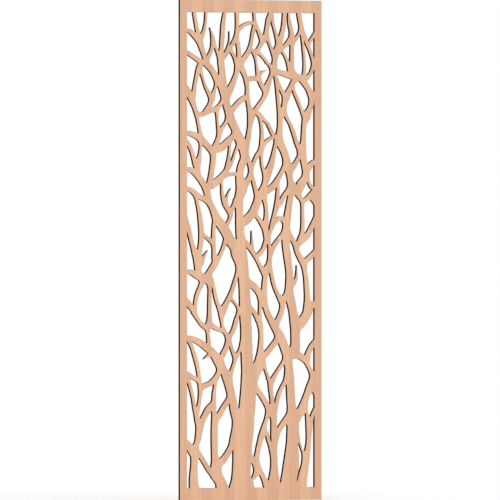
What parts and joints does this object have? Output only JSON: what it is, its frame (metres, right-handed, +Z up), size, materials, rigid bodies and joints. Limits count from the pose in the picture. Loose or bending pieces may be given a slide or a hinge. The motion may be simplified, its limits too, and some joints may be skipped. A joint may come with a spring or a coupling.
{
  "type": "fretwork wood panel",
  "caption": "Tall flat wood panel, edge-glued from full-length staves and cut through as interlaced trunks and branches inside a plain border.",
  "frame": {"origin": "middle of the bottom edge, at half the thickness", "axes": "+Z up along the height, +X to the right seen from the front, -Y out of the front face"},
  "size_m": [0.6, 0.018, 2],
  "materials": {
    "wood_dark_stave": "fine sanded, vertical grain, scorched cut edges",
    "wood_pale_stave": "fine sanded, vertical grain, scorched cut edges"
  },
  "bodies": {
    "root": {"stave_01": "wood_dark_stave", "stave_02": "wood_pale_stave", "stave_03": "wood_dark_stave", "stave_04": "wood_pale_stave", "stave_05": "wood_dark_stave", "stave_06": "wood_pale_stave", "stave_07": "wood_dark_stave", "stave_08": "wood_pale_stave", "stave_09": "wood_dark_stave", "stave_10": "wood_pale_stave", "stave_11": "wood_dark_stave", "stave_12": "wood_pale_stave", "stave_13": "wood_dark_stave"}
  },
  "joints": []
}
